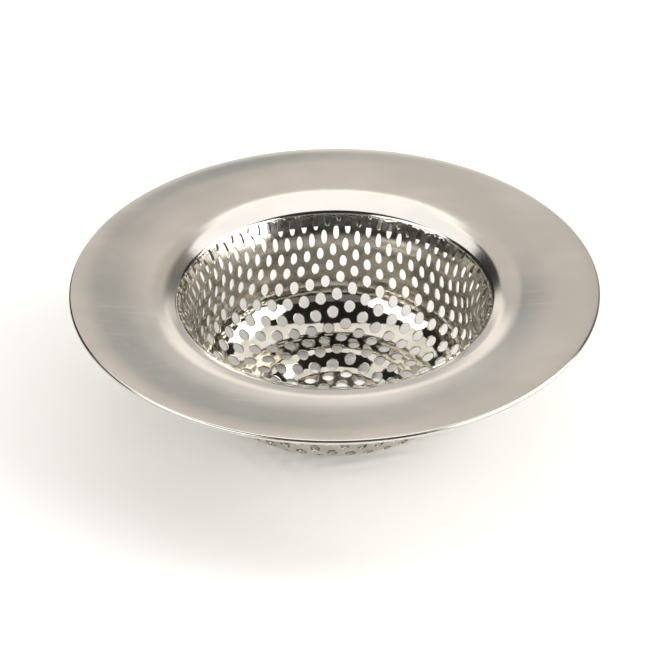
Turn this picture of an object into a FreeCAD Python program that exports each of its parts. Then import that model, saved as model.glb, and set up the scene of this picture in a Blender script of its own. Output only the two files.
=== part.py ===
import FreeCAD, Part
import math
import os

import Sketcher
from FreeCAD import Vector

# Basket strainer for a kitchen sink drain, in millimetres, +Z up.
# Two pressed stainless sheets: a wide rim flange, and a perforated basket nested inside its skirt.
# Origin: the centre of the underside of the basket, where the strainer stands on a flat surface.

os.makedirs("parts", exist_ok=True)
doc = FreeCAD.newDocument("basket_strainer")

# ---------------------------------------------------------------- driving dimensions
DIMENSIONS = {
    # rim flange
    "rim_radius": 57.15,            # outside of the hemmed edge
    "rim_height": 31.6,             # top of the flat band above the origin
    "rim_sheet": 0.5,
    "hem_thickness": 1.1,           # both layers and the air between them
    "hem_width": 3.6,               # width folded back under the rim
    "hem_bend": 0.53,
    "flat_band": 4.6,               # level band inside the folded edge
    "band_bend": 12.0,
    "crease_radius": 40.0,          # where the dished rim turns into the shoulder
    "crease_height": 30.6,
    "shoulder_radius": 36.6,
    "shoulder_height": 29.75,
    "knee_height": 28.6,            # shoulder turning down into the skirt
    "skirt_bottom": 25.7,
    "crease_bend": 2.0,
    "shoulder_bend": 9.0,
    "knee_bend": 1.6,
    # strainer basket, outside faces
    "basket_sheet": 0.45,
    "disc_radius": 12.5,            # sunken disc the strainer stands on
    "tread_height": 2.9,            # ring-shaped step around the disc
    "tread_inner": 16.3,
    "tread_outer": 22.85,
    "wall_radius": 31.25,
    "corner_height": 8.0,           # chamfer and wall meet here before rounding
    "flare_height": 22.75,          # wall starts to open towards the mouth
    "mouth_radius": 33.9,
    "mouth_height": 28.2,
    "disc_bend": 3.45,
    "step_bend": 2.55,
    "tread_bend": 9.3,
    "corner_bend": 11.4,
    "flare_bend": 14.0,
    # perforation of the flat blank the basket is drawn from
    "hole_diameter": 2.6,
    "hole_pitch": 4.18,
    "row_angle": 15.9,              # one row of holes, from +X towards +Y, in degrees
    "hole_offset_x": -0.52,          # hole nearest the axis
    "hole_offset_y": -1.55,
    "least_notch": 0.5,             # a hole that the trimmed edge cuts shallower than this is left out
}

sheet = doc.addObject("Spreadsheet::Sheet", "Dims")
for row, (alias, number) in enumerate(DIMENSIONS.items(), start=1):
    sheet.set(f"A{row}", alias)
    sheet.set(f"B{row}", str(number))
    sheet.setAlias(f"B{row}", alias)
doc.recompute()


class Size:
    """A length with the expression that drives it."""

    def __init__(self, value, text):
        self.value = value
        self.text = text

    def __add__(self, other):
        return Size(self.value + other.value, f"({self.text} + {other.text})")

    def __sub__(self, other):
        return Size(self.value - other.value, f"({self.text} - {other.text})")


def dim(alias):
    """A sheet cell as a length and as the expression that reads it."""
    return Size(sheet.get(alias), f"Dims.{alias}")


ZERO = Size(0.0, "0")


# ---------------------------------------------------------------- sketching helpers
def origin_feature(body, role):
    """One of the body's own base planes or axes."""
    for feature in body.Origin.OriginFeatures:
        if feature.Role == role:
            return feature
    raise RuntimeError(f"{body.Label} has no {role}")


def unit(vector):
    return vector * (1 / vector.Length)


def left_of(direction):
    return Vector(-direction.y, direction.x, 0)


def drive(sketch, constraint, label, size):
    """Add a dimension to a sketch and hand it over to the sheet."""
    index = sketch.addConstraint(constraint)
    sketch.renameConstraint(index, label)
    sketch.setExpression(f"Constraints.{label}", size.text)


class SheetSection:
    """Half section of a bent sheet: a driven outline on one side, its parallel on the other.

    The sharp corners of the driven side are pinned to the sheet as construction lines. The real
    lines lie on them and are joined by tangent bends. The other side runs parallel at the sheet
    thickness, to the left of the path (side = 1) or to the right (side = -1).
    """

    def __init__(self, sketch, corners, bends, thickness, side):
        self.sketch = sketch
        self.corners = corners
        self.bends = bends
        self.thickness = thickness
        self.side = side
        self.flat = [Vector(x.value, z.value, 0) for x, z in corners]
        self.headings = [unit(b - a) for a, b in zip(self.flat, self.flat[1:])]

    def draw(self):
        guides = self.draw_guides()
        driven, driven_ends = self.draw_side(ZERO, "driven")
        offset, offset_ends = self.draw_side(self.thickness, "offset")
        for guide, near, far in zip(guides, driven, offset):
            if guide != guides[0]:
                self.sketch.addConstraint(Sketcher.Constraint("PointOnObject", near, 1, guide))
            if guide != guides[-1]:
                self.sketch.addConstraint(Sketcher.Constraint("PointOnObject", near, 2, guide))
            self.sketch.addConstraint(Sketcher.Constraint("Parallel", far, guide))
            drive(self.sketch, Sketcher.Constraint("Distance", far, 1, guide, self.thickness.value),
                  f"gap{guide}", self.thickness)
        for end, (near, far) in enumerate(((driven_ends[0], offset_ends[0]),
                                           (driven_ends[1], offset_ends[1]))):
            self.close_end(end, near, far)

    def draw_guides(self):
        guides = []
        for a, b in zip(self.flat, self.flat[1:]):
            guides.append(self.sketch.addGeometry(Part.LineSegment(a, b), True))
        for first, second in zip(guides, guides[1:]):
            self.sketch.addConstraint(Sketcher.Constraint("Coincident", first, 2, second, 1))
        spots = [(guide, 1) for guide in guides] + [(guides[-1], 2)]
        for i, ((guide, end), corner) in enumerate(zip(spots, self.corners)):
            for kind, letter, size in (("DistanceX", "x", corner[0]), ("DistanceY", "z", corner[1])):
                drive(self.sketch, Sketcher.Constraint(kind, -1, 1, guide, end, size.value),
                      f"corner{i}{letter}", size)
        return guides

    def draw_side(self, gap, name):
        """Lines and tangent bends of one side, gap away from the driven corners."""
        shift = gap.value * self.side
        starts, ends, arcs = [self.flat[0] + left_of(self.headings[0]) * shift], [], []
        for i, bend in enumerate(self.bends, start=1):
            before, after = self.headings[i - 1], self.headings[i]
            turn = math.atan2(before.x * after.y - before.y * after.x, before.dot(after))
            inner = (turn > 0) == (self.side > 0)
            radius = bend.value - gap.value if inner else bend.value + gap.value
            reach = bend.value * math.tan(abs(turn) / 2)
            toward = 1 if turn > 0 else -1
            centre = self.flat[i] - before * reach + left_of(before) * (toward * bend.value)
            ends.append(centre - left_of(before) * (toward * radius))
            starts.append(centre - left_of(after) * (toward * radius))
            arcs.append((centre, radius, toward, bend - gap if inner else bend + gap))
        ends.append(self.flat[-1] + left_of(self.headings[-1]) * shift)
        lines = [self.sketch.addGeometry(Part.LineSegment(a, b)) for a, b in zip(starts, ends)]
        for i, (centre, radius, toward, size) in enumerate(arcs):
            first, last = (ends[i], starts[i + 1]) if toward > 0 else (starts[i + 1], ends[i])
            angles = [math.atan2(p.y - centre.y, p.x - centre.x) for p in (first, last)]
            circle = Part.Circle(centre, Vector(0, 0, 1), radius)
            arc = self.sketch.addGeometry(Part.ArcOfCircle(circle, *angles))
            at_start, at_end = (1, 2) if toward > 0 else (2, 1)
            self.sketch.addConstraint(Sketcher.Constraint("Tangent", lines[i], 2, arc, at_start))
            self.sketch.addConstraint(Sketcher.Constraint("Tangent", lines[i + 1], 1, arc, at_end))
            drive(self.sketch, Sketcher.Constraint("Radius", arc, size.value),
                  f"{name}_bend{i}", size)
        return lines, ((lines[0], 1), (lines[-1], 2))

    def close_end(self, end, near, far):
        """Cut the sheet square at one end of the path."""
        spot = self.flat[0] if end == 0 else self.flat[-1]
        heading = self.headings[0] if end == 0 else self.headings[-1]
        away = spot + left_of(heading) * (self.side * self.thickness.value)
        cap = self.sketch.addGeometry(Part.LineSegment(spot, away))
        guide_corner = 0 if end == 0 else len(self.headings) - 1
        self.sketch.addConstraint(Sketcher.Constraint("Coincident", cap, 1, near[0], near[1]))
        self.sketch.addConstraint(Sketcher.Constraint("Coincident", cap, 2, far[0], far[1]))
        self.sketch.addConstraint(Sketcher.Constraint("Coincident", cap, 1, guide_corner, end + 1))
        self.sketch.addConstraint(Sketcher.Constraint("Perpendicular", cap, guide_corner))


def revolved_sheet(label, corners, bends, thickness, side):
    """A body holding one sheet-metal section turned a full circle about +Z."""
    body = doc.addObject("PartDesign::Body", label)
    body.Label = label
    sketch = body.newObject("Sketcher::SketchObject", f"{label}_section")
    sketch.AttachmentSupport = [(origin_feature(body, "XZ_Plane"), "")]
    sketch.MapMode = "FlatFace"
    SheetSection(sketch, corners, bends, thickness, side).draw()
    doc.recompute()
    turned = body.newObject("PartDesign::Revolution", f"{label}_form")
    turned.Profile = sketch
    turned.ReferenceAxis = (origin_feature(body, "Z_Axis"), [""])
    turned.Angle = 360.0
    body.Tip = turned
    doc.recompute()
    return body


# ---------------------------------------------------------------- shared construction lines
def on_flare(height):
    """Radius of the basket's outside face at a height on the flare."""
    widening = dim("mouth_radius") - dim("wall_radius")
    rise = dim("mouth_height") - dim("flare_height")
    above = height - dim("flare_height")
    return dim("wall_radius") + Size(widening.value * above.value / rise.value,
                                     f"({widening.text} * {above.text} / {rise.text})")


# ---------------------------------------------------------------- rim flange
def at(radius, height):
    return (dim(radius), dim(height))


hem_floor = dim("rim_height") - dim("hem_thickness")
rim_corners = [
    (on_flare(dim("skirt_bottom")), dim("skirt_bottom")),
    (on_flare(dim("knee_height")), dim("knee_height")),
    at("shoulder_radius", "shoulder_height"),
    at("crease_radius", "crease_height"),
    (dim("rim_radius") - dim("flat_band"), dim("rim_height")),
    at("rim_radius", "rim_height"),
    (dim("rim_radius"), hem_floor),
    (dim("rim_radius") - dim("hem_width"), hem_floor),
]
rim_bends = [dim(name) for name in ("knee_bend", "shoulder_bend", "crease_bend", "band_bend",
                                    "hem_bend", "hem_bend")]
rim = revolved_sheet("rim_flange", rim_corners, rim_bends, dim("rim_sheet"), side=-1)

# ---------------------------------------------------------------- strainer basket, before punching
cup_corners = [
    (ZERO, ZERO),
    (dim("disc_radius"), ZERO),
    at("tread_inner", "tread_height"),
    at("tread_outer", "tread_height"),
    at("wall_radius", "corner_height"),
    at("wall_radius", "flare_height"),
    at("mouth_radius", "mouth_height"),
]
cup_bends = [dim(name) for name in ("disc_bend", "step_bend", "tread_bend", "corner_bend",
                                    "flare_bend")]
cup = revolved_sheet("pressed_cup", cup_corners, cup_bends, dim("basket_sheet"), side=1)


# ---------------------------------------------------------------- perforation
def rounded_outline(corners, bends, step=0.05):
    """Points and unit tangents along the pressed outline, from the axis to the mouth."""
    points = []
    for before, corner, after, radius in zip(corners, corners[1:], corners[2:], bends):
        back = (before - corner).normalize()
        ahead = (after - corner).normalize()
        half = back.getAngle(ahead) / 2
        reach = radius / math.tan(half)
        centre = corner + (back + ahead).normalize() * (radius / math.sin(half))
        start, end = corner + back * reach, corner + ahead * reach
        turn = math.pi - 2 * half
        pieces = max(2, int(radius * turn / step))
        for k in range(pieces + 1):
            along = k / pieces
            spoke = (start - centre) * math.sin((1 - along) * turn) + (end - centre) * math.sin(along * turn)
            points.append(centre + spoke * (1 / math.sin(turn)))
    return [corners[0]] + points + [corners[-1]]


def spread(points, step=0.1):
    """Even steps along the outline: (arc length, point, tangent)."""
    stations, travelled = [], 0.0
    for a, b in zip(points, points[1:]):
        length = (b - a).Length
        if length < 1e-9:
            continue
        tangent = (b - a) * (1 / length)
        pieces = max(1, int(math.ceil(length / step)))
        for k in range(pieces):
            stations.append((travelled + length * k / pieces, a + (b - a) * (k / pieces), tangent))
        travelled += length
    stations.append((travelled, points[-1], tangent))
    return stations


FORMING_STRETCH = 0.12      # how much of the lost width turns into extra wall height
HOLE_NARROWING = 1.8        # a hole narrows faster than the sheet around it
HOLE_LENGTHENING = 0.85


def pressed_stations():
    """For each station of the inside face, the radius it had in the flat blank."""
    thickness = sheet.get("basket_sheet")
    outline = rounded_outline([Vector(x.value, 0, z.value) for x, z in cup_corners],
                              [size.value for size in cup_bends])
    stations, blank_radius, arc, last = [], 0.0, 0.0, None
    for _, point, tangent in spread(outline):
        outward = Vector(tangent.z, 0, -tangent.x)
        inside = point - outward * thickness
        step = (inside - last).Length if last else 0.0
        arc += step
        if blank_radius < 0.5:
            blank_radius = arc
        else:
            blank_radius += step * (inside.x / blank_radius) ** FORMING_STRETCH
        last = inside
        stations.append((blank_radius, point - outward * (thickness / 2), tangent, arc))
    past = sheet.get("hole_diameter")
    mouth_blank, mouth, tangent, arc = stations[-1]
    stations.append((mouth_blank + past, mouth + tangent * past, tangent, arc + past))
    return stations


def station_at(stations, blank_radius):
    low, high = 0, len(stations) - 1
    while high - low > 1:
        middle = (low + high) // 2
        if stations[middle][0] <= blank_radius:
            low = middle
        else:
            high = middle
    a, b = stations[low], stations[high]
    share = (blank_radius - a[0]) / (b[0] - a[0])
    arc = a[3] + (b[3] - a[3]) * share
    return a[1] + (b[1] - a[1]) * share, (a[2] + (b[2] - a[2]) * share).normalize(), arc


def make_punch(centre, tangent, outward, across, width, height):
    """Short elliptical bar standing through the sheet at one hole."""
    length = 4 * sheet.get("basket_sheet")
    start = centre - outward * (length / 2)
    if abs(width - height) < 0.02:
        return Part.makeCylinder(width / 2, length, start, outward)
    major, minor = (tangent, across) if height > width else (across, tangent)
    long_half, short_half = max(width, height) / 2, min(width, height) / 2
    curve = Part.Ellipse(start + major * long_half, start + minor * short_half, start)
    return Part.Face(Part.Wire(curve.toShape())).extrude(outward * length)


def make_punches():
    stations = pressed_stations()
    mouth_arc = stations[-2][3]
    pitch = sheet.get("hole_pitch")
    angle = math.radians(sheet.get("row_angle"))
    along = Vector(math.cos(angle), math.sin(angle), 0) * pitch
    next_row = Vector(math.cos(angle + math.pi / 3), math.sin(angle + math.pi / 3), 0) * pitch
    first = Vector(sheet.get("hole_offset_x"), sheet.get("hole_offset_y"), 0)
    reach = int(stations[-1][0] / pitch) + 6
    punches = []
    for i in range(-reach, reach + 1):
        for j in range(-reach, reach + 1):
            spot = first + along * i + next_row * j
            if spot.Length >= stations[-1][0]:
                continue
            place, tangent, arc = station_at(stations, spot.Length)
            squeeze = min(1.0, place.x / spot.Length)
            width = sheet.get("hole_diameter") * squeeze ** HOLE_NARROWING
            height = sheet.get("hole_diameter") * squeeze ** -HOLE_LENGTHENING
            if arc - height / 2 > mouth_arc - sheet.get("least_notch"):
                continue
            turn = math.atan2(spot.y, spot.x)
            across = Vector(-math.sin(turn), math.cos(turn), 0)
            away = Vector(math.cos(turn), math.sin(turn), 0)
            centre = away * place.x + Vector(0, 0, place.z)
            slope = away * tangent.x + Vector(0, 0, tangent.z)
            outward = away * tangent.z + Vector(0, 0, -tangent.x)
            punches.append(make_punch(centre, slope, outward, across, width, height))
    return punches


punches = make_punches()
print("holes", len(punches))
punch_set = doc.addObject("Part::Feature", "punch_set")
punch_set.Shape = Part.makeCompound(punches)
punch_set.Placement = FreeCAD.Placement()

basket = doc.addObject("Part::Cut", "strainer_basket")
basket.Label = "strainer_basket"
basket.Base = cup
basket.Tool = punch_set

# ---------------------------------------------------------------- checks and hand-over
doc.recompute()
for item in doc.Objects:
    if "Invalid" in item.State or "Error" in item.State:
        raise RuntimeError(f"{item.Label}: {item.State}")
for item in (rim, basket):
    shape = item.Shape
    if shape.isNull() or not shape.isValid():
        raise RuntimeError(f"{item.Label}: bad shape")
    print(item.Label, "solids", len(shape.Solids), "faces", len(shape.Faces),
          "volume", round(shape.Volume, 2), shape.BoundBox)
    shape.exportStep(f"parts/{item.Label}.step")
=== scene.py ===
"""Basket strainer for a kitchen sink: a satin rim flange and a polished perforated basket."""

import logging
import math
from collections.abc import Sequence
from dataclasses import dataclass, field
from enum import Enum

import bpy
import numpy as np
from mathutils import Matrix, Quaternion, Vector


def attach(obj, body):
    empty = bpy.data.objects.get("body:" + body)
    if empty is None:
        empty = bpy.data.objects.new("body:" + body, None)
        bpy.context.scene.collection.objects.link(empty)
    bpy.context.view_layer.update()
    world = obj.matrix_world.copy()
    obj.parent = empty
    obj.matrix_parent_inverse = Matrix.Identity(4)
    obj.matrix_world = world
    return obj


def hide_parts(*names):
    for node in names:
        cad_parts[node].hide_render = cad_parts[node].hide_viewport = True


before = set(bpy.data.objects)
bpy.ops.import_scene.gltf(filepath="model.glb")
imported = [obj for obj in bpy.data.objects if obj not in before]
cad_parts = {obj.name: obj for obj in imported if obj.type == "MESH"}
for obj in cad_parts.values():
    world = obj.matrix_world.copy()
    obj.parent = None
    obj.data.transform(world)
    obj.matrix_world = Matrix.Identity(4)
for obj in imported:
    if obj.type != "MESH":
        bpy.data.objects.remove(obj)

LOG = logging.getLogger("strainer")
MM = 0.001

SMOOTH_BELOW = math.radians(50.0)   # edges sharper than this stay crisp

Outline = list[Vector]
Colour = tuple[float, float, float]
Triple = tuple[float, float, float]
Socket = bpy.types.NodeSocket


class Side(Enum):
    """Side of a path on which the sheet metal lies."""

    LEFT = 1
    RIGHT = -1


# ------------------------------------------------------------------------------ outlines
def mitred_offset(corners: Outline, thickness: float, side: Side) -> Outline:
    """Move an open outline sideways by the thickness of the sheet, keeping its corners sharp.

    Args:
        corners: Sharp corners as (radius, height) pairs.
        thickness: Thickness of the sheet.
        side: Side of the path on which the sheet lies.

    Returns:
        The corners of the parallel outline.
    """
    headings = [(b - a).normalized() for a, b in zip(corners, corners[1:])]
    ways = [Vector((-h.y, h.x)) * side.value for h in headings]
    moved = [corners[0] + ways[0] * thickness]
    for corner, before, after in zip(corners[1:], ways, ways[1:]):
        middle = before + after
        moved.append(corner + middle * (thickness * 2.0 / middle.length_squared))
    moved.append(corners[-1] + ways[-1] * thickness)
    return moved


def rounded(corners: Outline, bends: Sequence[float], steps: Sequence[int]) -> Outline:
    """Round the inner corners of an open outline with tangent arcs.

    Args:
        corners: Sharp corners as (radius, height) pairs.
        bends: One radius for each inner corner.
        steps: Number of pieces in each arc.

    Returns:
        The points of the rounded outline.
    """
    points = [corners[0]]
    for before, corner, after, radius, pieces in zip(corners, corners[1:], corners[2:], bends, steps):
        back, ahead = (before - corner).normalized(), (after - corner).normalized()
        half = back.angle(ahead) / 2.0
        turn = math.pi - 2.0 * half
        centre = corner + (back + ahead).normalized() * (radius / math.sin(half))
        first = corner + back * (radius / math.tan(half)) - centre
        last = corner + ahead * (radius / math.tan(half)) - centre
        for k in range(pieces + 1):
            share = k / pieces
            spoke = first * math.sin((1.0 - share) * turn) + last * math.sin(share * turn)
            points.append(centre + spoke / math.sin(turn))
    points.append(corners[-1])
    return points


def divided(points: Outline, longest: float) -> Outline:
    """Split the long straight runs of an outline.

    Args:
        points: Points of an open outline.
        longest: Longest run that is left whole.

    Returns:
        The outline with its long runs divided evenly.
    """
    result = [points[0]]
    for a, b in zip(points, points[1:]):
        pieces = max(1, math.ceil((b - a).length / longest))
        result += [a.lerp(b, k / pieces) for k in range(1, pieces + 1)]
    return result


# ------------------------------------------------------------------------------ modelling helpers
def clear_selection() -> None:
    """Deselect everything, since the frame's nodes come in selected."""
    if bpy.context.object and bpy.context.object.mode != "OBJECT":
        bpy.ops.object.mode_set(mode="OBJECT")
    bpy.ops.object.select_all(action="DESELECT")


def activate(piece: bpy.types.Object) -> None:
    """Make one object the selected and active one.

    Args:
        piece: Object to work on.
    """
    clear_selection()
    piece.select_set(True)
    bpy.context.view_layer.objects.active = piece


def apply_modifier(piece: bpy.types.Object, kind: str, **settings: object) -> None:
    """Add a modifier, set it up and apply it.

    Args:
        piece: Object to change.
        kind: Type name of the modifier.
        **settings: Its properties.
    """
    activate(piece)
    modifier = piece.modifiers.new(kind.lower(), kind)
    for key, value in settings.items():
        setattr(modifier, key, value)
    bpy.ops.object.modifier_apply(modifier=modifier.name)


def recalculate_normals(piece: bpy.types.Object) -> None:
    """Turn every face of a closed piece outwards.

    Args:
        piece: Object to change.
    """
    activate(piece)
    bpy.ops.object.mode_set(mode="EDIT")
    bpy.ops.mesh.select_all(action="SELECT")
    bpy.ops.mesh.normals_make_consistent(inside=False)
    bpy.ops.object.mode_set(mode="OBJECT")


def turned_shell(name: str, outline: Outline, segments: int) -> bpy.types.Object:
    """Turn a closed outline about the axis, one extruded ring after another.

    Args:
        name: Name of the new piece.
        outline: Closed outline as (radius, height) pairs, without a repeated last point.
        segments: Divisions round the axis.

    Returns:
        The closed ring-shaped piece.
    """
    clear_selection()
    start = outline[0]
    bpy.ops.mesh.primitive_circle_add(vertices=segments, radius=start.x, fill_type="NOTHING",
                                      location=(0.0, 0.0, start.y))
    piece = bpy.context.object
    piece.name = name
    bpy.ops.object.transform_apply(location=True, rotation=False, scale=False)
    bpy.ops.object.mode_set(mode="EDIT")
    bpy.ops.mesh.select_all(action="SELECT")
    for before, after in zip(outline, outline[1:] + outline[:1]):
        bpy.ops.mesh.extrude_edges_move(
            TRANSFORM_OT_translate={"value": (0.0, 0.0, after.y - before.y)})
        widen = after.x / before.x
        bpy.ops.transform.resize(value=(widen, widen, 1.0), center_override=(0.0, 0.0, 0.0))
    bpy.ops.mesh.select_all(action="SELECT")
    bpy.ops.mesh.remove_doubles(threshold=1e-6)
    bpy.ops.mesh.normals_make_consistent(inside=False)
    bpy.ops.object.mode_set(mode="OBJECT")
    bpy.ops.object.shade_smooth_by_angle(angle=SMOOTH_BELOW)
    return piece


def dress(piece: bpy.types.Object, material: bpy.types.Material) -> None:
    """Give a piece one material all over.

    Args:
        piece: Object to dress.
        material: Its material.
    """
    piece.data.materials.clear()
    piece.data.materials.append(material)


# ------------------------------------------------------------------------------ finishes
class NodeSheet:
    """Small helper that lays out the nodes of one material."""

    def __init__(self, name: str) -> None:
        """Start a material with its single Principled shader.

        Args:
            name: Name of the material.
        """
        self.material = bpy.data.materials.new(name)
        self.material.use_nodes = True
        self.nodes = self.material.node_tree.nodes
        self.links = self.material.node_tree.links
        self.shader = self.nodes["Principled BSDF"]
        self.place = self.nodes.new("ShaderNodeTexCoord").outputs["Object"]

    def join(self, source: Socket, target: Socket) -> None:
        """Link an output to an input."""
        self.links.new(source, target)

    def mapped(self, scale: Triple, turn: float = 0.0) -> Socket:
        """Object coordinates turned about the axis and stretched.

        Args:
            scale: Repeats per metre along each axis.
            turn: Angle about +Z in degrees.

        Returns:
            The vector output.
        """
        node = self.nodes.new("ShaderNodeMapping")
        node.inputs["Rotation"].default_value = (0.0, 0.0, math.radians(turn))
        node.inputs["Scale"].default_value = scale
        self.join(self.place, node.inputs["Vector"])
        return node.outputs["Vector"]

    def noise(self, vector: Socket, detail: float = 2.0, roughness: float = 0.5) -> Socket:
        """A noise pattern.

        Args:
            vector: Where it is read.
            detail: Number of finer layers.
            roughness: Weight of the finer layers.

        Returns:
            The value output.
        """
        node = self.nodes.new("ShaderNodeTexNoise")
        node.inputs["Scale"].default_value = 1.0
        node.inputs["Detail"].default_value = detail
        node.inputs["Roughness"].default_value = roughness
        self.join(vector, node.inputs["Vector"])
        return node.outputs["Fac"]

    def spread(self, value: Socket, low: float, high: float, to_low: float, to_high: float) -> Socket:
        """Map one range of a value smoothly to another.

        Args:
            value: Input value.
            low: Start of the range read.
            high: End of the range read.
            to_low: Result at the start.
            to_high: Result at the end.

        Returns:
            The value output.
        """
        node = self.nodes.new("ShaderNodeMapRange")
        node.interpolation_type = "SMOOTHSTEP"
        for key, number in zip(("From Min", "From Max", "To Min", "To Max"),
                               (low, high, to_low, to_high)):
            node.inputs[key].default_value = number
        self.join(value, node.inputs["Value"])
        return node.outputs["Result"]

    def math(self, operation: str, first: Socket | float, second: Socket | float) -> Socket:
        """Combine two values or a value and a number.

        Args:
            operation: Name of the operation.
            first: First value or number.
            second: Second value or number.

        Returns:
            The value output.
        """
        node = self.nodes.new("ShaderNodeMath")
        node.operation = operation
        for socket, item in zip(node.inputs, (first, second)):
            if isinstance(item, (int, float)):
                socket.default_value = item
            else:
                self.join(item, socket)
        return node.outputs["Value"]

    def split_place(self) -> bpy.types.NodeOutputs:
        """Take the object coordinates apart.

        Returns:
            The outputs X, Y and Z.
        """
        split = self.nodes.new("ShaderNodeSeparateXYZ")
        self.join(self.place, split.inputs["Vector"])
        return split.outputs

    def squares(self, first: Socket, second: Socket) -> Socket:
        """Sum of the squares of two values."""
        return self.math("ADD", self.math("POWER", first, 2.0), self.math("POWER", second, 2.0))

    def radius(self) -> Socket:
        """Distance from the strainer's axis, in metres."""
        place = self.split_place()
        return self.math("SQRT", self.squares(place["X"], place["Y"]), 0.0)

    def tint(self, share: Socket, first: Socket | Colour, second: Colour) -> Socket:
        """Mix two colours.

        Args:
            share: Share of the second colour.
            first: First colour, or the output that gives it.
            second: Second colour.

        Returns:
            The colour output.
        """
        node = self.nodes.new("ShaderNodeMix")
        node.data_type = "RGBA"
        self.join(share, node.inputs["Factor"])
        if isinstance(first, tuple):
            node.inputs["A"].default_value = (*first, 1.0)
        else:
            self.join(first, node.inputs["A"])
        node.inputs["B"].default_value = (*second, 1.0)
        return node.outputs["Result"]

    def bump(self, height: Socket, depth: float, below: Socket | None = None) -> Socket:
        """A bump layer.

        Args:
            height: Height pattern, from 0 to 1.
            depth: Depth of the pattern in metres.
            below: Normal of the layer underneath, if there is one.

        Returns:
            The normal output.
        """
        node = self.nodes.new("ShaderNodeBump")
        node.inputs["Strength"].default_value = 1.0
        node.inputs["Distance"].default_value = depth
        self.join(height, node.inputs["Height"])
        if below is not None:
            self.join(below, node.inputs["Normal"])
        return node.outputs["Normal"]


@dataclass(frozen=True)
class SatinSteel:
    """Fine linear satin on the rim, smoother on its shoulder. Lengths in metres, turns in degrees."""

    light: Colour = (0.665, 0.635, 0.605)
    dark: Colour = (0.60, 0.58, 0.55)
    clouds: Triple = (45.0, 60.0, 45.0)
    satin: float = 0.17
    polish: float = 0.14
    shoulder_from: float = 37.5 * MM
    shoulder_to: float = 43.5 * MM
    grain: Triple = (260.0, 5200.0, 900.0)
    grain_turn: float = 24.0
    grain_depth: float = 0.0012 * MM
    hairs: Triple = (22.0, 2600.0, 90.0)
    hair_turns: Triple = (24.0, -38.0, 71.0)
    hair_depth: float = 0.003 * MM
    rare_hairs: tuple[float, float] = (0.74, 0.80)
    specks: Triple = (700.0, 700.0, 700.0)
    speck_depth: float = 0.009 * MM
    rare_specks: tuple[float, float] = (0.76, 0.80)

    def make(self) -> bpy.types.Material:
        """Build the material.

        Returns:
            The material.
        """
        sheet = NodeSheet("satin_steel")
        sheet.shader.inputs["Metallic"].default_value = 1.0
        clouds = sheet.noise(sheet.mapped(self.clouds))
        colour = sheet.tint(sheet.spread(clouds, 0.35, 0.65, 0.0, 1.0), self.dark, self.light)
        sheet.join(colour, sheet.shader.inputs["Base Color"])
        grain = sheet.noise(sheet.mapped(self.grain, self.grain_turn), 3.0, 0.6)
        outward = sheet.spread(sheet.radius(), self.shoulder_from, self.shoulder_to,
                               self.polish, self.satin)
        uneven = sheet.spread(grain, 0.3, 0.7, 0.88, 1.12)
        sheet.join(sheet.math("MULTIPLY", outward, uneven), sheet.shader.inputs["Roughness"])
        brushed = sheet.bump(grain, self.grain_depth)
        for turn in self.hair_turns:
            hairs = sheet.noise(sheet.mapped(self.hairs, turn), 1.0)
            cuts = sheet.spread(hairs, *self.rare_hairs, 1.0, 0.0)
            brushed = sheet.bump(cuts, self.hair_depth, brushed)
        specks = sheet.noise(sheet.mapped(self.specks), 1.0)
        pits = sheet.spread(specks, *self.rare_specks, 1.0, 0.0)
        sheet.join(sheet.bump(pits, self.speck_depth, brushed), sheet.shader.inputs["Normal"])
        return sheet.material


@dataclass(frozen=True)
class PolishedSteel:
    """Bright drawn sheet of the basket, duller and wavier up the stretched wall. Lengths in metres."""

    light: Colour = (0.55, 0.52, 0.465)
    dark: Colour = (0.42, 0.395, 0.335)
    smears: Triple = (150.0, 150.0, 150.0)
    polish: float = 0.06
    drawn: float = 0.17
    ripple: Triple = (420.0, 420.0, 260.0)
    ripple_depth: float = 0.045 * MM
    least_ripple: float = 0.35
    wall_from: float = 9.0 * MM
    wall_to: float = 15.0 * MM

    def make(self) -> bpy.types.Material:
        """Build the material.

        Returns:
            The material.
        """
        sheet = NodeSheet("polished_steel")
        sheet.shader.inputs["Metallic"].default_value = 1.0
        smears = sheet.noise(sheet.mapped(self.smears), 3.0)
        colour = sheet.tint(sheet.spread(smears, 0.3, 0.7, 0.0, 1.0), self.dark, self.light)
        sheet.join(colour, sheet.shader.inputs["Base Color"])
        height = sheet.split_place()["Z"]
        dull = sheet.spread(height, self.wall_from, self.wall_to, self.polish, self.drawn)
        uneven = sheet.spread(smears, 0.3, 0.7, 0.8, 1.3)
        sheet.join(sheet.math("MULTIPLY", dull, uneven), sheet.shader.inputs["Roughness"])
        ripple = sheet.noise(sheet.mapped(self.ripple), 2.0, 0.45)
        swell = sheet.spread(height, self.wall_from, self.wall_to, self.least_ripple, 1.0)
        waves = sheet.bump(sheet.math("MULTIPLY", ripple, swell), self.ripple_depth)
        sheet.join(waves, sheet.shader.inputs["Normal"])
        return sheet.material


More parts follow.
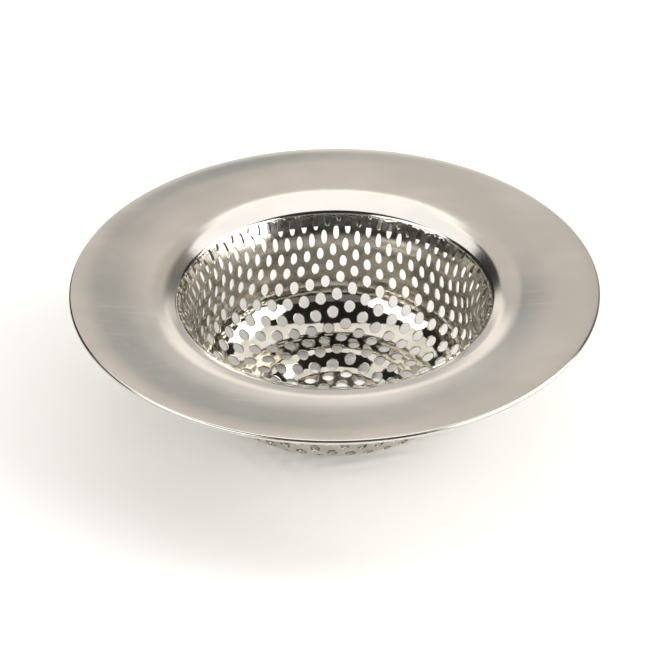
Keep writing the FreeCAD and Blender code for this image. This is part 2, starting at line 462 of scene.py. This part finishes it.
# ------------------------------------------------------------------------------ rim flange
@dataclass
class RimFlange:
    """The pressed rim: folded edge, level band, dished rim, shoulder and skirt. Millimetres."""

    radius: float = 57.15
    height: float = 31.6
    sheet: float = 0.5
    hem_thickness: float = 1.1
    hem_width: float = 3.6
    flat_band: float = 4.6
    crease: tuple[float, float] = (40.0, 30.6)
    dish: tuple[float, float] = (45.4, 31.17)
    shoulder: tuple[float, float] = (36.6, 29.75)
    knee_height: float = 28.6
    skirt_bottom: float = 25.7
    flare_foot: tuple[float, float] = (31.25, 22.75)
    mouth: tuple[float, float] = (33.9, 28.2)
    bends: tuple[float, ...] = (1.6, 9.0, 20.0, 110.0, 70.0, 0.53, 0.53)
    bend_steps: tuple[int, ...] = (10, 8, 6, 6, 6, 6, 6)
    longest_run: float = 2.5
    segments: int = 288

    def on_flare(self, height: float) -> Vector:
        """Point of the flared joint face at a height.

        Args:
            height: Height above the origin.

        Returns:
            The (radius, height) pair.
        """
        (low_radius, low), (high_radius, high) = self.flare_foot, self.mouth
        return Vector((low_radius + (high_radius - low_radius) * (height - low) / (high - low), height))

    def outline(self) -> Outline:
        """Closed outline of the half section, in metres.

        Returns:
            Upper side from the skirt to the folded leg, then the lower side back again.
        """
        hem_floor = self.height - self.hem_thickness
        upper = [
            self.on_flare(self.skirt_bottom),
            self.on_flare(self.knee_height),
            Vector(self.shoulder),
            Vector(self.crease),
            Vector(self.dish),
            Vector((self.radius - self.flat_band, self.height)),
            Vector((self.radius, self.height)),
            Vector((self.radius, hem_floor)),
            Vector((self.radius - self.hem_width, hem_floor)),
        ]
        lower = mitred_offset(upper, self.sheet, Side.RIGHT)
        lower_bends = []
        for bend, before, corner, after in zip(self.bends, upper, upper[1:], upper[2:]):
            turns_left = (corner - before).cross(after - corner) > 0.0
            lower_bends.append(bend + self.sheet if turns_left else bend - self.sheet)
        top = divided(rounded(upper, self.bends, self.bend_steps), self.longest_run)
        under = divided(rounded(lower, lower_bends, self.bend_steps), self.longest_run)
        return [point * MM for point in top + under[::-1]]

    def build(self, material: bpy.types.Material) -> bpy.types.Object:
        """Model the rim and dress it.

        Args:
            material: Finish of the rim.

        Returns:
            The finished piece.
        """
        piece = turned_shell("rim_flange_skin", self.outline(), self.segments)
        dress(piece, material)
        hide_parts("rim_flange")
        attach(piece, "root")
        return piece


# ------------------------------------------------------------------------------ strainer basket
@dataclass
class StrainerBasket:
    """The cup drawn from perforated sheet, inside face first. Millimetres and degrees."""

    sheet: float = 0.45
    disc: float = 12.5
    tread_height: float = 2.9
    tread_inner: float = 16.3
    tread_outer: float = 22.85
    wall: float = 31.25
    corner_height: float = 8.0
    flare_height: float = 22.75
    mouth: tuple[float, float] = (33.9, 28.2)
    bends: tuple[float, ...] = (3.45, 2.55, 9.3, 11.4, 14.0)
    bend_steps: int = 24
    longest_run: float = 0.1
    hole: float = 2.6
    pitch: float = 4.18
    row_angle: float = 15.9
    first_hole: tuple[float, float] = (-0.52, -1.55)
    least_notch: float = 0.25
    past_mouth: float = 5.5
    spare_cells: int = 6
    plain_border: float = 2.5
    weld: float = 0.01
    trim_weld: float = 0.02
    forming_stretch: float = 0.12
    hole_narrowing: float = 1.8
    hole_lengthening: float = 0.6
    collar: float = 1.16
    edge: float = 0.05
    profile: dict[str, np.ndarray] = field(default_factory=dict, init=False)
    mouth_arc: float = field(default=0.0, init=False)
    mouth_blank: float = field(default=0.0, init=False)
    mouth_top: float = field(default=0.0, init=False)

    def measure_profile(self) -> None:
        """Follow the inside face from the axis to the mouth and note its radius in the flat blank."""
        outside = [Vector((0.0, 0.0)), Vector((self.disc, 0.0)),
                   Vector((self.tread_inner, self.tread_height)),
                   Vector((self.tread_outer, self.tread_height)),
                   Vector((self.wall, self.corner_height)),
                   Vector((self.wall, self.flare_height)), Vector(self.mouth)]
        inside = mitred_offset(outside, self.sheet, Side.LEFT)
        grows = (-1.0, 1.0, -1.0, -1.0, 1.0)
        bends = [bend + way * self.sheet for bend, way in zip(self.bends, grows)]
        beyond = inside[-1] + (inside[-1] - inside[-2]).normalized() * self.past_mouth
        curved = rounded(inside, bends, [self.bend_steps] * len(bends))
        points = divided(curved + [beyond], self.longest_run)
        radius = np.array([p.x for p in points])
        height = np.array([p.y for p in points])
        arc = np.concatenate(([0.0], np.cumsum(np.hypot(np.diff(radius), np.diff(height)))))
        blank = np.zeros_like(arc)
        for i in range(1, len(arc)):
            at_centre = blank[i - 1] <= 0.5
            pull = 1.0 if at_centre else (radius[i] / blank[i - 1]) ** self.forming_stretch
            blank[i] = blank[i - 1] + (arc[i] - arc[i - 1]) * pull
        self.profile = {"radius": radius, "height": height, "arc": arc, "blank": blank}
        self.mouth_arc = arc[-1] - self.past_mouth
        self.mouth_blank = float(np.interp(self.mouth_arc, arc, blank))
        self.mouth_top = float(np.interp(self.mouth_arc, arc, height))

    def pressed(self, key: str, blank: np.ndarray) -> np.ndarray:
        """Read the pressed profile at radii of the flat blank.

        Args:
            key: Quantity to read.
            blank: Radii in the flat blank.

        Returns:
            One value for each radius.
        """
        return np.interp(blank, self.profile["blank"], self.profile[key])

    def lattice(self) -> tuple[np.ndarray, np.ndarray]:
        """Steps from a hole to the next one in its row, and to the next row.

        Returns:
            The two steps in the plane of the blank.
        """
        angles = [math.radians(self.row_angle + turn) for turn in (0.0, 60.0)]
        along, across = [np.array([math.cos(a), math.sin(a)]) * self.pitch for a in angles]
        return along, across

    def squeeze(self, blank: np.ndarray) -> np.ndarray:
        """How much narrower the sheet gets round the axis at radii of the flat blank."""
        return np.minimum(1.0, self.pressed("radius", blank) / np.maximum(blank, 1e-6))

    def hole_factors(self, spots: np.ndarray) -> tuple[np.ndarray, np.ndarray, np.ndarray]:
        """How pressing changes the holes at some places of the blank.

        Args:
            spots: Places in the flat blank.

        Returns:
            Narrowing across, lengthening along, and whether a hole is punched there at all.
        """
        blank = np.hypot(spots[:, 0], spots[:, 1])
        narrow = self.squeeze(blank) ** self.hole_narrowing
        longer = self.squeeze(blank) ** -self.hole_lengthening
        lowest = self.pressed("arc", blank) - self.hole / 2.0 * longer
        return narrow, longer, lowest <= self.mouth_arc - self.least_notch

    def make_cell(self, name: str, punched: bool) -> bpy.types.Object:
        """One six-sided cell of the flat blank.

        Args:
            name: Name of the cell.
            punched: Whether the cell has its hole or is plain metal.

        Returns:
            The cell, centred on the origin.
        """
        clear_selection()
        bpy.ops.mesh.primitive_circle_add(vertices=6, radius=self.pitch / math.sqrt(3.0),
                                          fill_type="NOTHING",
                                          rotation=(0.0, 0.0, math.radians(self.row_angle)))
        cell = bpy.context.object
        cell.name = name
        bpy.ops.object.transform_apply(location=False, rotation=True, scale=False)
        bpy.ops.object.mode_set(mode="EDIT")
        bpy.ops.mesh.select_all(action="SELECT")
        bpy.ops.mesh.subdivide(number_cuts=2)
        for radius in (self.hole / 2.0 * self.collar, self.hole / 2.0):
            bpy.ops.mesh.extrude_edges_move(TRANSFORM_OT_translate={"value": (0.0, 0.0, 0.0)})
            bpy.ops.transform.tosphere(value=1.0, center_override=(0.0, 0.0, 0.0))
            cell.update_from_editmode()
            ring = [v.co.length for v in cell.data.vertices if v.select]
            shrink = radius * len(ring) / sum(ring)
            bpy.ops.transform.resize(value=(shrink, shrink, 1.0), center_override=(0.0, 0.0, 0.0))
        if not punched:
            bpy.ops.mesh.edge_face_add()
            bpy.ops.mesh.poke()
        bpy.ops.mesh.select_all(action="SELECT")
        bpy.ops.mesh.normals_make_consistent(inside=False)
        bpy.ops.object.mode_set(mode="OBJECT")
        return cell

    def lay_cells(self) -> bpy.types.Object:
        """Cover the blank with punched cells, and its border with plain ones.

        Returns:
            The flat perforated blank.
        """
        along, across = self.lattice()
        reach = int(self.profile["blank"][-1] / self.pitch) + self.spare_cells
        steps = [(i, j) for i in range(-reach, reach + 1) for j in range(-reach, reach + 1)]
        spots = np.array([np.array(self.first_hole) + along * i + across * j for i, j in steps])
        punched = self.hole_factors(spots)[2]
        near = np.hypot(spots[:, 0], spots[:, 1]) < self.mouth_blank + self.plain_border
        kinds = [(self.make_cell("punched_cell", True), spots[punched]),
                 (self.make_cell("plain_cell", False), spots[near & ~punched])]
        LOG.info("basket: %d holes, %d plain cells", len(kinds[0][1]), len(kinds[1][1]))
        copies = []
        for cell, places in kinds:
            for place in places:
                copy = cell.copy()
                copy.data = cell.data.copy()
                copy.location = (place[0], place[1], 0.0)
                bpy.context.collection.objects.link(copy)
                copies.append(copy)
            bpy.data.objects.remove(cell)
        clear_selection()
        for copy in copies:
            copy.select_set(True)
        bpy.context.view_layer.objects.active = copies[0]
        bpy.ops.object.join()
        blank = bpy.context.object
        bpy.ops.object.transform_apply(location=True, rotation=False, scale=False)
        bpy.ops.object.mode_set(mode="EDIT")
        bpy.ops.mesh.select_all(action="SELECT")
        bpy.ops.mesh.remove_doubles(threshold=self.weld)
        bpy.ops.object.mode_set(mode="OBJECT")
        return blank

    def nearest_hole(self, flat: np.ndarray) -> np.ndarray:
        """Centre of the cell that each point of the blank belongs to.

        Args:
            flat: Points of the blank.

        Returns:
            One centre for each point.
        """
        along, across = self.lattice()
        start = np.array(self.first_hole)
        counts = np.linalg.solve(np.array([along, across]).T, (flat - start).T).T
        best = np.zeros_like(flat)
        gap = np.full(len(flat), np.inf)
        for i in (0, 1):
            for j in (0, 1):
                centre = start + np.outer(np.floor(counts[:, 0]) + i, along) \
                    + np.outer(np.floor(counts[:, 1]) + j, across)
                distance = np.hypot(*(flat - centre).T)
                closer = distance < gap
                best[closer], gap[closer] = centre[closer], distance[closer]
        return best

    def press(self, blank: bpy.types.Object) -> None:
        """Draw the flat blank into the cup: holes first, then the sheet.

        Args:
            blank: The flat blank; its mesh becomes the inside face of the basket.
        """
        count = len(blank.data.vertices)
        place = np.zeros(count * 3)
        blank.data.vertices.foreach_get("co", place)
        flat = place.reshape(-1, 3)[:, :2]
        centre = self.nearest_hole(flat)
        offset = flat - centre
        in_hole = np.hypot(*offset.T) < self.hole / 2.0 * self.collar + self.weld
        narrow, longer, punched = self.hole_factors(centre)
        radius = np.hypot(*centre.T)
        shrink = narrow / self.squeeze(radius)
        slope = np.gradient(self.profile["arc"], self.profile["blank"])
        stretch = longer / np.interp(radius, self.profile["blank"], slope)
        outward = centre / np.maximum(radius, 1e-6)[:, None]
        sideways = np.stack([-outward[:, 1], outward[:, 0]], axis=1)
        out_part = np.sum(offset * outward, axis=1)
        side_part = np.sum(offset * sideways, axis=1)
        drawn = centre + outward * (out_part * stretch)[:, None] + sideways * (side_part * shrink)[:, None]
        flat = np.where((in_hole & punched)[:, None], drawn, flat)
        blank_radius = np.hypot(*flat.T)
        turn = np.arctan2(flat[:, 1], flat[:, 0])
        ring, height = self.pressed("radius", blank_radius), self.pressed("height", blank_radius)
        cup = np.stack([ring * np.cos(turn), ring * np.sin(turn), height], axis=1) * MM
        blank.data.vertices.foreach_set("co", cup.ravel())
        blank.data.update()

    def trim(self, cup: bpy.types.Object) -> None:
        """Trim the cup level at its mouth, through the holes that lie there.

        Args:
            cup: The pressed cup.
        """
        activate(cup)
        bpy.ops.object.mode_set(mode="EDIT")
        bpy.ops.mesh.select_all(action="SELECT")
        bpy.ops.mesh.bisect(plane_co=(0.0, 0.0, self.mouth_top * MM), plane_no=(0.0, 0.0, 1.0),
                            clear_outer=True)
        bpy.ops.mesh.select_all(action="SELECT")
        bpy.ops.mesh.remove_doubles(threshold=self.trim_weld * MM)
        bpy.ops.mesh.dissolve_degenerate(threshold=1e-6)
        bpy.ops.object.mode_set(mode="OBJECT")

    def build(self, material: bpy.types.Material) -> bpy.types.Object:
        """Model the basket and dress it.

        Args:
            material: Finish of the basket.

        Returns:
            The finished piece.
        """
        self.measure_profile()
        piece = self.lay_cells()
        piece.name = "strainer_basket_skin"
        self.press(piece)
        self.trim(piece)
        apply_modifier(piece, "SOLIDIFY", thickness=self.sheet * MM, offset=-1.0, use_even_offset=True)
        recalculate_normals(piece)
        apply_modifier(piece, "BEVEL", width=self.edge * MM, segments=1, limit_method="ANGLE",
                       angle_limit=math.radians(55.0))
        activate(piece)
        bpy.ops.object.shade_smooth_by_angle(angle=SMOOTH_BELOW)
        dress(piece, material)
        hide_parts("strainer_basket")
        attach(piece, "root")
        return piece


# ------------------------------------------------------------------------------ studio
@dataclass(frozen=True)
class Softbox:
    """One soft rectangular light. Metres; a brightness of 1 is plain white."""

    name: str
    size: tuple[float, float]
    location: Triple
    look_at: Triple
    brightness: float
    mirrored: bool = True
    colour: Colour = (1.0, 0.985, 0.96)

    def build(self) -> None:
        """Hang the light. One that isn't mirrored only fills in shadows."""
        data = bpy.data.lights.new(self.name, "AREA")
        data.shape = "RECTANGLE"
        data.size, data.size_y = self.size
        data.energy = self.brightness * math.pi * self.size[0] * self.size[1]
        data.color = self.colour
        light = bpy.data.objects.new(self.name, data)
        bpy.context.collection.objects.link(light)
        light.location = self.location
        light.visible_glossy = self.mirrored
        light.visible_camera = False
        light.rotation_mode = "QUATERNION"
        facing = Vector(self.look_at) - Vector(self.location)
        light.rotation_quaternion = facing.to_track_quat("-Z", "Y")


@dataclass(frozen=True)
class GlowingPaper:
    """Glowing backdrop paper whose emission paints light and shade: bright bands low down, a cool patch of
    painted shade, painted shade darker to the right. Metres.
    """

    bands: tuple[tuple[float, Colour], ...] = (
        (0.28, (0.74, 0.72, 0.68)),
        (0.42, (1.38, 1.29, 1.19)),
        (0.57, (1.38, 1.29, 1.19)),
        (0.69, (0.68, 0.68, 0.65)),
        (0.86, (0.84, 0.77, 0.70)),
        (1.00, (0.84, 0.77, 0.70)),
    )
    patch_centre: tuple[float, float] = (-0.065, 0.83)
    patch_size: tuple[float, float] = (0.12, 0.17)
    patch_depth: float = 0.95
    patch_colour: Colour = (0.33, 0.37, 0.37)
    right_from: float = 0.15
    right_to: float = 0.75
    right_depth: float = 0.7

    def make(self) -> bpy.types.Material:
        """Build the material.

        Returns:
            The material.
        """
        sheet = NodeSheet("backdrop_painted_light")
        place = sheet.split_place()
        # painted light: the glow's bands of brightness up the backdrop
        ramp = sheet.nodes.new("ShaderNodeValToRGB")
        sheet.join(place["Z"], ramp.inputs["Fac"])
        ramp.color_ramp.interpolation = "EASE"
        stops = ramp.color_ramp.elements
        for stop, (height, colour) in zip(list(stops), (self.bands[0], self.bands[-1])):
            stop.position, stop.color = height, (*colour, 1.0)
        for height, colour in self.bands[1:-1]:
            stops.new(height).color = (*colour, 1.0)
        # painted shade: a cool darker patch in the backdrop's glow
        offsets = [sheet.math("DIVIDE", sheet.math("SUBTRACT", place[axis], centre), size)
                   for axis, centre, size in zip("XZ", self.patch_centre, self.patch_size)]
        patch = sheet.spread(sheet.squares(*offsets), 0.0, 1.0, self.patch_depth, 0.0)
        # painted shade: the backdrop's glow darkens towards the right
        right = sheet.spread(place["X"], self.right_from, self.right_to, 0.0, self.right_depth)
        shaded = sheet.tint(patch, ramp.outputs["Color"], self.patch_colour)
        shaded = sheet.tint(right, shaded, (0.0, 0.0, 0.0))
        sheet.shader.inputs["Base Color"].default_value = (0.0, 0.0, 0.0, 1.0)
        sheet.shader.inputs["Specular IOR Level"].default_value = 0.0
        # the backdrop's colour is painted light and shade carried by its emission, not light from the
        # lamps
        sheet.join(shaded, sheet.shader.inputs["Emission Color"])
        sheet.shader.inputs["Emission Strength"].default_value = 1.0
        return sheet.material


@dataclass(frozen=True)
class Studio:
    """Pale floor, backdrop, soft lights and the camera. Metres and degrees; the lens in millimetres."""

    target: Triple = (0.0, 0.0, 31.05 * MM)
    distance: float = 0.650
    elevation: float = 33.466
    roll: float = -0.4
    sensor: float = 36.0
    lens: float = 167.112
    aim: tuple[float, float] = (2.0724 * MM, 8.3735 * MM)
    floor_size: float = 6.0
    floor_height: float = -0.02 * MM
    floor_colour: Colour = (0.90, 0.893, 0.88)
    backdrop_size: tuple[float, float] = (1.9, 1.7)
    backdrop_place: Triple = (0.35, 1.3, 0.85)
    surroundings: Colour = (0.03, 0.03, 0.03)
    softboxes: tuple[Softbox, ...] = (
        Softbox("overhead", (1.8, 0.78), (0.0, 0.36, 0.9), (0.0, 0.36, 0.0), 1.5),
        Softbox("overhead_fill", (1.8, 0.78), (0.0, 0.36, 0.92), (0.0, 0.36, 0.0), 0.6, False),
        Softbox("front_fill", (1.2, 0.5), (0.0, -1.0, 0.95), (0.0, 0.0, 0.0), 2.4, False),
        Softbox("front_card", (2.6, 0.44), (0.0, -1.3, 0.8), (0.0, 0.0, 0.1), 0.28),
        Softbox("right", (1.0, 0.75), (0.8, -0.2, 0.5), (0.0, -0.2, 0.2), 5.0),
        Softbox("left", (1.05, 0.50), (-0.8, -0.46, 0.68), (0.0, -0.1, 0.2), 3.2),
    )

    def add_camera(self) -> None:
        """Place the camera above the front, aimed a little below and to the left of the mouth."""
        data = bpy.data.cameras.new("camera")
        data.sensor_width = self.sensor
        data.lens = self.lens
        data.clip_start = 0.01
        data.clip_end = 50.0
        camera = bpy.data.objects.new("camera", data)
        bpy.context.collection.objects.link(camera)
        rise = math.radians(self.elevation)
        back = Vector((0.0, -math.cos(rise), math.sin(rise)))
        right = Vector((1.0, 0.0, 0.0))
        up = back.cross(right)
        target = Vector(self.target)
        camera.location = target + back * self.distance
        look_at = target - right * self.aim[0] - up * self.aim[1]
        camera.rotation_mode = "QUATERNION"
        level = (look_at - camera.location).to_track_quat("-Z", "Y")
        camera.rotation_quaternion = level @ Quaternion((0.0, 0.0, 1.0), math.radians(self.roll))
        bpy.context.scene.camera = camera

    def add_plane(self, name: str, size: tuple[float, float], location: Triple,
                  tilt: float) -> bpy.types.Object:
        """Add one flat staged sheet.

        Args:
            name: Its name.
            size: Width and depth.
            location: Centre.
            tilt: Angle about +X in degrees.

        Returns:
            The sheet.
        """
        clear_selection()
        bpy.ops.mesh.primitive_plane_add(size=1.0, location=location,
                                         rotation=(math.radians(tilt), 0.0, 0.0))
        plane = bpy.context.object
        plane.name = name
        plane.scale = (*size, 1.0)
        return plane

    def build(self) -> None:
        """Set up the floor, the backdrop, the lights and the camera."""
        floor = self.add_plane("floor", (self.floor_size, self.floor_size),
                               (0.0, 0.0, self.floor_height), 0.0)
        paper = bpy.data.materials.new("floor_paper")
        paper.use_nodes = True
        shader = paper.node_tree.nodes["Principled BSDF"]
        shader.inputs["Base Color"].default_value = (*self.floor_colour, 1.0)
        shader.inputs["Roughness"].default_value = 0.9
        dress(floor, paper)
        backdrop = self.add_plane("backdrop", self.backdrop_size, self.backdrop_place, 90.0)
        activate(backdrop)
        bpy.ops.object.transform_apply(location=True, rotation=True, scale=True)
        dress(backdrop, GlowingPaper().make())
        world = bpy.data.worlds.new("studio")
        world.use_nodes = True
        world.node_tree.nodes["Background"].inputs["Color"].default_value = (*self.surroundings, 1.0)
        bpy.context.scene.world = world
        for softbox in self.softboxes:
            softbox.build()
        self.add_camera()


def main() -> None:
    """Build every piece, then the studio round them."""
    logging.basicConfig(level=logging.INFO, format="%(name)s: %(message)s")
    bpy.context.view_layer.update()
    bpy.context.scene.view_settings.view_transform = "Standard"
    pieces = [
        RimFlange().build(SatinSteel().make()),
        StrainerBasket().build(PolishedSteel().make()),
    ]
    for piece in pieces:
        LOG.info("%s: %d points, %d faces", piece.name, len(piece.data.vertices),
                 len(piece.data.polygons))
    Studio().build()


if __name__ == "__main__":
    main()
